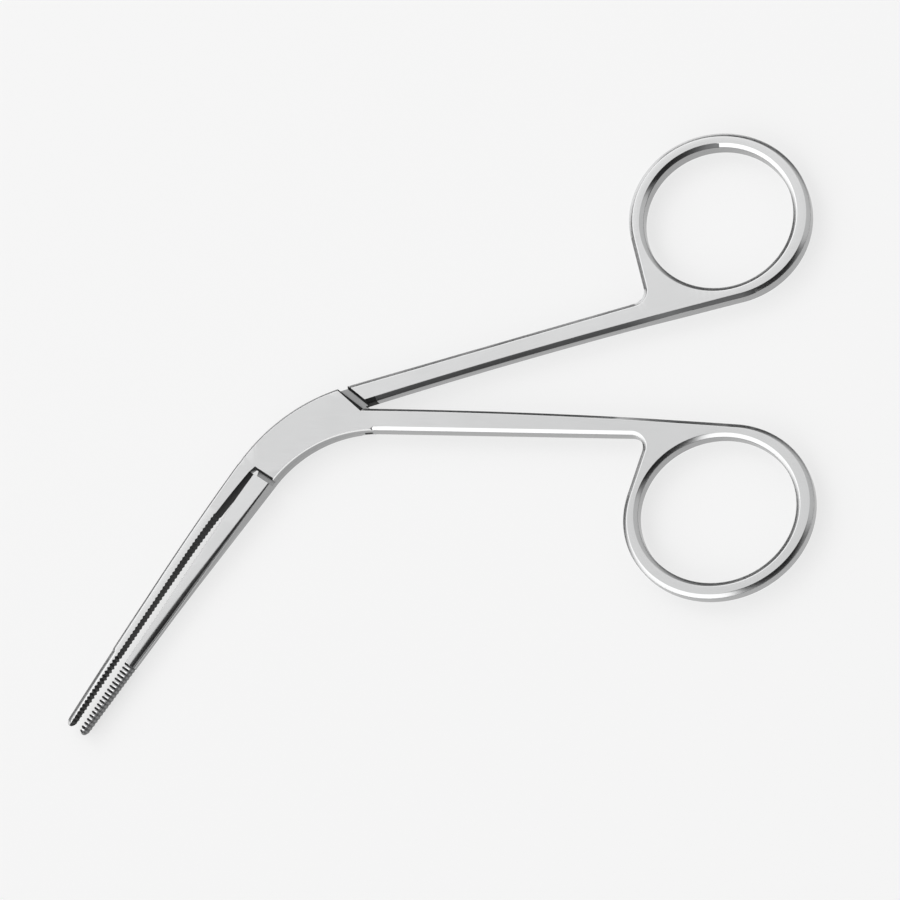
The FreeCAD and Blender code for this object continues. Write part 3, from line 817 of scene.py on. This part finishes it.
def make_jaw(name, back, bevel_law, shift, ribbed):
    """Bridge the sections from the elbow to the rounded tip and close both ends."""
    bm = bmesh.new()
    loops = []
    for x, share in jaw_stops():
        inner, outer = grip(name, x), back(x)
        middle = (inner + outer) / 2
        side = 1 if outer > inner else -1
        if x >= TEETH_FROM:
            tooth = TOOTH_DEPTHS[name][1 if x > RIBS_FROM else 0]
            inner += side * tooth * tooth_wave(x, shift) * share
        sunk = RIB_DEPTH * tooth_wave(x, 0.0) * share if ribbed and x > RIBS_FROM else 0.0
        bevel = bevel_law(x)
        deep = bevel_depth(x) if ribbed else bevel * 0.57
        ring = jaw_section(x, inner, outer, bevel, deep, ROUND_BACK if ribbed else EVEN_BACK, sunk)
        places = [(jaw_point(x, middle + (y - middle) * share), MIDDLE + z * share) for y, z in ring]
        loops.append(closed_loop(bm, [(p.x, p.y, z) for p, z in places]))
    bridge(bm, loops)
    for end in (0, -1):
        bmesh.ops.contextual_create(bm, geom=loops[end])
    bmesh.ops.recalc_face_normals(bm, faces=bm.faces)
    mark_jaw(bm, name, back, ribbed)
    return bm


front_jaw = as_object(make_jaw("front", front_back, front_bevel, 0.0, False), "front_jaw")
rear_jaw = as_object(make_jaw("rear", rear_back, rear_bevel, 0.5, True), "rear_jaw")
print("jaws:", len(front_jaw.data.polygons), len(rear_jaw.data.polygons), "faces")

# %% [markdown]
# ## The joint screw
# The screw sits sunk in the back of the rear half and ends inside the front half, so the
# front face stays whole. It is turned work: its half profile is spun round the joint's axis,
# and the slot for the screwdriver is cut afterwards.

# %% Spin the screw and cut its slot
SLOT_WIDTH = 0.7
SLOT_DEPTH = 0.45
SLOT_TURN = 32


def make_screw():
    profile = [
        (0.0, 0.0),
        (HEAD_RADIUS - 0.14, 0.0),
        (HEAD_RADIUS - 0.06, 0.02),
        (HEAD_RADIUS, 0.1),
        (HEAD_RADIUS, HEAD_DEPTH),
        (SCREW_RADIUS, HEAD_DEPTH),
        (SCREW_RADIUS, STOCK - SCREW_COVER - 0.1),
        (SCREW_RADIUS - 0.1, STOCK - SCREW_COVER),
        (0.0, STOCK - SCREW_COVER),
    ]
    bm = bmesh.new()
    verts = [bm.verts.new((r * MM, 0, z * MM)) for r, z in profile]
    edges = [bm.edges.new(pair) for pair in zip(verts, verts[1:])]
    bmesh.ops.spin(
        bm,
        geom=verts + edges,
        axis=(0, 0, 1),
        cent=(0, 0, 0),
        angle=math.tau,
        steps=96,
        use_merge=True,
    )
    bmesh.ops.remove_doubles(bm, verts=bm.verts, dist=1e-7)
    bmesh.ops.recalc_face_normals(bm, faces=bm.faces)
    return bm


joint_screw = as_object(make_screw(), "screw_detail")
slot = bmesh.new()
bmesh.ops.create_cube(slot, size=1.0)
slot_size = Matrix.Diagonal((8 * MM, SLOT_WIDTH * MM, 2 * SLOT_DEPTH * MM, 1))
slot_turn = Matrix.Rotation(math.radians(SLOT_TURN), 4, "Z")
bmesh.ops.transform(slot, matrix=slot_turn @ slot_size, verts=slot.verts)
cut(joint_screw, [as_object(slot, "screw_slot")])

# %% [markdown]
# ## Joining frame and jaw
# A half is one forging, so its frame and its jaw become one mesh. Smooth shading alone would
# bend the light on the large flat faces near every edge. Weighted normals give those faces the
# say, and edges sharper than a set angle stay crisp.

# %% Join each half and set its shading
SHARP_FROM = 34


def join_half(name, parts):
    bm = bmesh.new()
    for part in parts:
        bm.from_mesh(part.data)
        bpy.data.objects.remove(part)
    return as_object(bm, name)


def smooth_steel(piece, angle):
    piece.data.shade_smooth()
    piece.data.set_sharp_from_angle(angle=math.radians(angle))
    weighted = piece.modifiers.new("weighted_normals", "WEIGHTED_NORMAL")
    weighted.keep_sharp = True
    weighted.weight = 80


front_half = join_half("front_half_steel", [front_frame, front_jaw])
rear_half = join_half("rear_half_steel", [rear_frame, rear_jaw])
for piece in (front_half, rear_half, joint_screw):
    smooth_steel(piece, SHARP_FROM)
    print(piece.name, len(piece.data.polygons), "faces")

# %% [markdown]
# ## Satin surgical steel
# The instrument is stainless steel with a fine satin finish: bright, slightly blurred
# reflections, with very fine scratches that run along each part and a faint unevenness left
# by hand finishing. The grain is a node group, because both halves and the screw use it in
# their own direction and strength. The group also paints shade on upright sides, darkening
# them by a side tone.

# %% The grain group


def multiply(tree, a, b):
    """A node that multiplies two colours."""
    node = tree.nodes.new("ShaderNodeMix")
    node.data_type = "RGBA"
    node.blend_type = "MULTIPLY"
    node.inputs["Factor"].default_value = 1.0
    tree.links.new(a, node.inputs["A"])
    tree.links.new(b, node.inputs["B"])
    return node


def make_grain_group():
    group = bpy.data.node_groups.new("satin_grain", "ShaderNodeTree")
    sockets = group.interface
    for socket, kind in (("Vector", "NodeSocketVector"), ("Base", "NodeSocketColor")):
        sockets.new_socket(socket, in_out="INPUT", socket_type=kind)
    for socket, value in (
        ("Upright Shade", 0.0),
        ("Side Shade", 0.4),
        ("Turn", 0.0),
        ("Roughness", 0.25),
        ("Scratch", 0.02),
    ):
        made = sockets.new_socket(socket, in_out="INPUT", socket_type="NodeSocketFloat")
        made.default_value = value
    sockets.new_socket("Color", in_out="OUTPUT", socket_type="NodeSocketColor")
    sockets.new_socket("Roughness", in_out="OUTPUT", socket_type="NodeSocketFloat")
    sockets.new_socket("Height", in_out="OUTPUT", socket_type="NodeSocketFloat")
    nodes, links = group.nodes, group.links
    given, result = nodes.new("NodeGroupInput"), nodes.new("NodeGroupOutput")

    rotate = nodes.new("ShaderNodeVectorRotate")
    rotate.rotation_type = "Z_AXIS"
    links.new(given.outputs["Vector"], rotate.inputs["Vector"])
    links.new(given.outputs["Turn"], rotate.inputs["Angle"])
    stretch = nodes.new("ShaderNodeMapping")
    stretch.inputs["Scale"].default_value = (260, 5200, 5200)
    links.new(rotate.outputs["Vector"], stretch.inputs["Vector"])
    lines = nodes.new("ShaderNodeTexNoise")
    lines.inputs["Scale"].default_value = 1.0
    lines.inputs["Detail"].default_value = 3.0
    links.new(stretch.outputs["Vector"], lines.inputs["Vector"])
    clouds = nodes.new("ShaderNodeTexNoise")
    clouds.inputs["Scale"].default_value = 140.0
    clouds.inputs["Detail"].default_value = 4.0
    links.new(given.outputs["Vector"], clouds.inputs["Vector"])

    def mix_range(source, low, high):
        node = nodes.new("ShaderNodeMapRange")
        node.inputs["From Min"].default_value = 0.3
        node.inputs["From Max"].default_value = 0.7
        node.inputs["To Min"].default_value = low
        node.inputs["To Max"].default_value = high
        links.new(source.outputs["Fac"], node.inputs["Value"])
        return node.outputs["Result"]

    def math_node(kind, a, b):
        node = nodes.new("ShaderNodeMath")
        node.operation = kind
        links.new(a, node.inputs[0])
        links.new(b, node.inputs[1])
        return node.outputs[0]

    uneven = math_node("ADD", mix_range(lines, -0.03, 0.03), mix_range(clouds, -0.025, 0.03))
    links.new(math_node("ADD", given.outputs["Roughness"], uneven), result.inputs["Roughness"])
    scratch = math_node("MULTIPLY", mix_range(lines, 0.0, 1.0), given.outputs["Scratch"])
    links.new(scratch, result.inputs["Height"])
    tone = math_node("ADD", mix_range(clouds, 0.485, 0.5), mix_range(lines, 0.48, 0.5))
    shade = multiply(group, given.outputs["Base"], tone)
    # Painted shade: upright sides are darkened by the side tone
    sides = multiply(group, shade.outputs["Result"], given.outputs["Side Shade"])
    links.new(given.outputs["Upright Shade"], sides.inputs["Factor"])
    links.new(sides.outputs["Result"], result.inputs["Color"])
    return group


GRAIN = make_grain_group()
print("grain group sockets:", len(GRAIN.interface.items_tree))

# %% A steel made from the grain, with painted shade on its upright sides


def upright_shade_mask(nodes, links, place):
    """Where shade is painted: 1 on upright sides and 0 on the flat faces and their bevels, from the
    object's own normal.
    """
    split = nodes.new("ShaderNodeSeparateXYZ")
    links.new(place.outputs["Normal"], split.inputs["Vector"])
    size = nodes.new("ShaderNodeMath")
    size.operation = "ABSOLUTE"
    links.new(split.outputs["Z"], size.inputs[0])
    fade = nodes.new("ShaderNodeMapRange")
    fade.interpolation_type = "SMOOTHSTEP"
    fade.inputs["From Min"].default_value = 0.72
    fade.inputs["From Max"].default_value = 0.3
    links.new(size.outputs["Value"], fade.inputs["Value"])
    return fade.outputs["Result"]


def make_steel(name, turn, base, rough, side_shade):
    """Steel with its grain turned along the piece, and painted shade that darkens its upright sides."""
    steel = bpy.data.materials.new(name)
    steel.use_nodes = True
    nodes, links = steel.node_tree.nodes, steel.node_tree.links
    shader = nodes["Principled BSDF"]
    shader.inputs["Metallic"].default_value = 1.0
    place = nodes.new("ShaderNodeTexCoord")
    grain = nodes.new("ShaderNodeGroup")
    grain.node_tree = GRAIN
    grain.inputs["Base"].default_value = (*base, 1)
    grain.inputs["Turn"].default_value = math.radians(turn)
    grain.inputs["Roughness"].default_value = rough
    links.new(place.outputs["Object"], grain.inputs["Vector"])
    grain.inputs["Side Shade"].default_value = side_shade
    links.new(upright_shade_mask(nodes, links, place), grain.inputs["Upright Shade"])
    links.new(grain.outputs["Color"], shader.inputs["Base Color"])
    links.new(grain.outputs["Roughness"], shader.inputs["Roughness"])
    bump = nodes.new("ShaderNodeBump")
    bump.inputs["Strength"].default_value = 0.25
    bump.inputs["Distance"].default_value = 0.00005
    links.new(grain.outputs["Height"], bump.inputs["Height"])
    links.new(bump.outputs["Normal"], shader.inputs["Normal"])
    return steel


# %% A steel for each finish, each painted shade and highlight, and each piece
# Grey that is partly the milled finish and partly painted shade in the lap's recess and on the ribs' sides
milled_shaded_steel = make_steel("milled_shaded_steel", 45, (0.38, 0.382, 0.385), 0.32, 0.6)
# Near-black painted shade for walls, ends, teeth and corners, where the gaps between the parts lie
black_shade_steel = make_steel("black_shade_steel", 57, (0.02, 0.0205, 0.021), 0.55, 0.6)
black_shade_shader = black_shade_steel.node_tree.nodes["Principled BSDF"]
black_shade_shader.inputs["Metallic"].default_value = 0.0
black_shade_shader.inputs["Specular IOR Level"].default_value = 0.25
# Dark grey painted shade for the rear shank's inner bevel and the valleys of the ribs
grey_shade_steel = make_steel("grey_shade_steel", 57, (0.2, 0.202, 0.205), 0.36, 0.7)
# A brighter copy of the steel as a painted highlight along the elbow's hollow edge
highlight_steel = make_steel("highlight_steel", 0, (0.93, 0.93, 0.93), 0.15, 1.0)
for half, finish, turn, base in (
    (front_half, "satin_steel_front", 2.9, (0.78, 0.783, 0.786)),
    (rear_half, "satin_steel_rear", -14.3, (0.82, 0.823, 0.826)),
):
    # In the order of satin, milled with painted shade, painted black shade, painted highlight and painted
    # dark grey shade
    satin_steel = make_steel(finish, turn, base, 0.2, 0.45)
    for steel in (satin_steel, milled_shaded_steel, black_shade_steel, highlight_steel, grey_shade_steel):
        half.data.materials.append(steel)
joint_screw.data.materials.append(make_steel("screw_steel", 60, (0.74, 0.743, 0.746), 0.28, 0.4))
print("steels:", [steel.name for steel in rear_half.data.materials])

# %% Let the pieces take the place of the frame's nodes
for piece, node, body, slot_name in (
    (front_half, "front_half", "front", "satin_steel"),
    (joint_screw, "joint_screw", "front", "screw_steel"),
    (rear_half, "rear_half", "rear", "satin_steel"),
):
    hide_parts(node)
    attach(piece, body)
    print(piece.name, "takes the place of", node, "on body", body)

# %% [markdown]
# ## Floor, light and camera
# Polished steel shows its surroundings, so the studio is part of the finish. The light comes
# from a pale tent all round. It is black close to the horizon and a little darker straight
# above, and it has one dark panel with a grey one under it, and a dim side. The world's own
# direction vector paints this tent, so it stays where it is from any angle of view. The floor
# is pale paper. Seen directly or in the steel it is mixed with white, so that it stays pale
# under a light that is set for the steel, and what is left of the paper keeps the shadow.

# %% Floor
PAPER_LIFT = 0.7
floor_bm = bmesh.new()
bmesh.ops.create_grid(floor_bm, x_segments=1, y_segments=1, size=1.2)
bmesh.ops.translate(floor_bm, verts=floor_bm.verts, vec=(0, 0, -0.00002))
floor = as_object(floor_bm, "floor")
paper = bpy.data.materials.new("pale_paper")
paper.use_nodes = True
p_nodes, p_links = paper.node_tree.nodes, paper.node_tree.links
p_nodes["Principled BSDF"].inputs["Base Color"].default_value = (0.92, 0.92, 0.92, 1)
p_nodes["Principled BSDF"].inputs["Roughness"].default_value = 0.9
white = p_nodes.new("ShaderNodeEmission")
white.inputs["Strength"].default_value = 1.0
ray = p_nodes.new("ShaderNodeLightPath")
seen = p_nodes.new("ShaderNodeMath")
seen.operation = "MAXIMUM"
p_links.new(ray.outputs["Is Camera Ray"], seen.inputs[0])
p_links.new(ray.outputs["Is Glossy Ray"], seen.inputs[1])
part = p_nodes.new("ShaderNodeMath")
part.operation = "MULTIPLY"
part.inputs[1].default_value = PAPER_LIFT
p_links.new(seen.outputs["Value"], part.inputs[0])
lift = p_nodes.new("ShaderNodeMixShader")
p_links.new(part.outputs["Value"], lift.inputs["Fac"])
p_links.new(p_nodes["Principled BSDF"].outputs["BSDF"], lift.inputs[1])
p_links.new(white.outputs["Emission"], lift.inputs[2])
p_links.new(lift.outputs["Shader"], p_nodes["Material Output"].inputs["Surface"])
floor.data.materials.append(paper)
print("floor lies", round(-floor.data.vertices[0].co.z / MM, 3), "mm under the instrument")

# %% The tent of light
world = bpy.data.worlds.new("studio_tent")
bpy.context.scene.world = world
world.use_nodes = True
w_nodes, w_links = world.node_tree.nodes, world.node_tree.links
w_nodes.clear()
sky_way = w_nodes.new("ShaderNodeTexCoord")
out = w_nodes.new("ShaderNodeOutputWorld")
lamp = w_nodes.new("ShaderNodeBackground")


def dot_with(vector):
    """1 straight towards the vector, 0 at a right angle to it."""
    node = w_nodes.new("ShaderNodeVectorMath")
    node.operation = "DOT_PRODUCT"
    w_links.new(sky_way.outputs["Generated"], node.inputs[0])
    node.inputs[1].default_value = vector
    return node.outputs["Value"]


def ramp(value, stops):
    """Grey that changes along the value, from stops of place and grey."""
    node = w_nodes.new("ShaderNodeValToRGB")
    w_links.new(value, node.inputs["Fac"])
    items = node.color_ramp.elements
    while len(items) < len(stops):
        items.new(0.5)
    for item, (place, grey) in zip(items, stops):
        item.position = place
        item.color = (grey, grey, grey, 1)
    return node.outputs["Color"]


height = ramp(
    dot_with((0, 0, 1)),
    [(0.0, 0.03), (0.17, 0.03), (0.32, 1.0), (0.75, 1.0), (0.93, 0.57), (1.0, 0.57)],
)
dark_panel = ramp(dot_with((0.4156, -0.4156, 0.809)), [(0.0, 1.0), (0.84, 1.0), (0.905, 0.03), (1.0, 0.03)])
grey_panel = ramp(dot_with((0.68, -0.68, 0.26)), [(0.0, 1.0), (0.74, 1.0), (0.83, 0.3), (1.0, 0.3)])
dim_side = ramp(dot_with((0.75, 0.65, 0.1)), [(0.0, 1.0), (0.35, 1.0), (0.6, 0.4), (1.0, 0.4)])
upper = multiply(world.node_tree, height, dark_panel)
lower = multiply(world.node_tree, grey_panel, dim_side)
tent = multiply(world.node_tree, upper.outputs["Result"], lower.outputs["Result"])
w_links.new(tent.outputs["Result"], lamp.inputs["Color"])
lamp.inputs["Strength"].default_value = 1.4
w_links.new(lamp.outputs["Background"], out.inputs["Surface"])
print("tent nodes:", len(w_nodes))

# %% One soft lamp from the far side gives the floor its shadow
soft = bpy.data.lights.new("soft_lamp", "AREA")
soft.shape = "DISK"
soft.size = 0.4
soft.energy = 0.9
soft_lamp = bpy.data.objects.new("soft_lamp", soft)
bpy.context.collection.objects.link(soft_lamp)
soft_lamp.visible_glossy = False
lamp_place = Vector((-0.52, 0.5, 0.58))
lamp_turn = lamp_place.to_track_quat("Z", "Y").to_matrix().to_4x4()
soft_lamp.matrix_world = Matrix.Translation(lamp_place) @ lamp_turn
print("lamp", round(lamp_place.length, 2), "m away")

# %% The camera at the photograph's angle
camera_data = bpy.data.cameras.new("photo_camera")
camera_data.sensor_fit = "HORIZONTAL"
camera_data.sensor_width = 36.0
camera_data.lens = 135.0
camera = bpy.data.objects.new("photo_camera", camera_data)
bpy.context.collection.objects.link(camera)
right = Vector((0.97089866, 0.03013532, -0.23758716))
up = Vector((0.03013532, 0.96879396, 0.2460287))
back = Vector((0.23758716, -0.2460287, 0.93969262))
turn = Matrix((right, up, back)).transposed().to_4x4()
camera.matrix_world = Matrix.Translation(Vector((149.7772, -133.97693, 499.634)) * MM) @ turn
bpy.context.scene.camera = camera
bpy.context.scene.view_settings.view_transform = "Standard"
print("camera at", [round(v, 4) for v in camera.matrix_world.translation])

# %% The end
bpy.context.view_layer.update()
